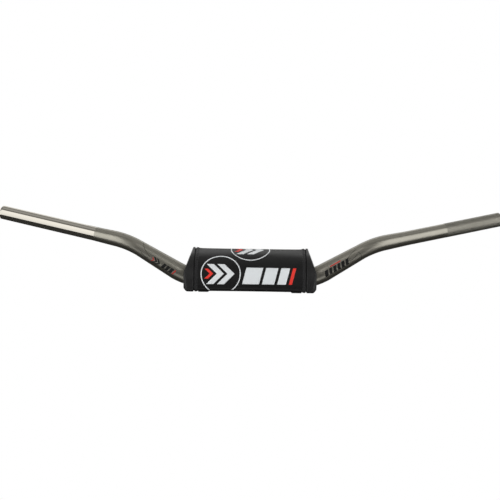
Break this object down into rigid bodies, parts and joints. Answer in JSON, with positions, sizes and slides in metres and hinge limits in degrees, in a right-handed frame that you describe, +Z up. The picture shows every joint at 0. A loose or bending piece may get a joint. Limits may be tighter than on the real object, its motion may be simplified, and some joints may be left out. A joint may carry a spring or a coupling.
{
  "type": "motocross handlebar with bar pad",
  "caption": "Wide tapered aluminium motocross handlebar, bent up and back, with a strapped foam bar pad over the clamp zone.",
  "frame": {"origin": "on the bar's axis, in the middle of the clamp zone", "axes": "+X along the clamp zone towards the clutch side, +Y back towards the rider, +Z up with the bar's rise"},
  "size_m": [0.806, 0.0968, 0.1193],
  "materials": {
    "anodised_aluminium": "satin titanium-grey anodising",
    "foam": "closed-cell foam",
    "cover_vinyl": "fine-grained matte vinyl",
    "moulded_cap": "matte moulded foam skin",
    "binding_tape": "woven tape",
    "webbing": "woven nylon webbing",
    "hook_tape": "moulded hooks",
    "loop_tape": "brushed loops",
    "white_film": "heat-bonded film",
    "red_film": "heat-bonded film"
  },
  "bodies": {
    "bar_and_pad": {"handlebar_tube": "anodised_aluminium", "pad_foam_core": "foam", "pad_cover": "cover_vinyl", "pad_end_cap_clutch_side": "moulded_cap", "pad_end_cap_throttle_side": "moulded_cap", "cover_binding_clutch_side": "binding_tape", "cover_binding_throttle_side": "binding_tape", "strap_root_clutch_side": "webbing", "strap_root_throttle_side": "webbing", "cover_loop_patch_clutch_side": "loop_tape", "cover_loop_patch_throttle_side": "loop_tape", "front_roundel": "white_film", "front_roundel_accent": "red_film", "front_stripes": "white_film", "front_stripe_accent": "red_film", "top_roundel": "white_film", "top_roundel_accent": "red_film"},
    "clutch_side_strap": {"strap_clutch_side": "webbing", "strap_hook_patch_clutch_side": "hook_tape"},
    "throttle_side_strap": {"strap_throttle_side": "webbing", "strap_hook_patch_throttle_side": "hook_tape"}
  },
  "joints": [
    {"name": "clutch_side_strap_opening", "type": "hinge", "parent": "bar_and_pad", "child": "clutch_side_strap", "pos_m": [0.072, -0.022, -0.0165], "axis": [-1, 0, 0], "range_deg": [0, 120]},
    {"name": "throttle_side_strap_opening", "type": "hinge", "parent": "bar_and_pad", "child": "throttle_side_strap", "pos_m": [-0.072, -0.022, -0.0165], "axis": [-1, 0, 0], "range_deg": [0, 120]}
  ]
}
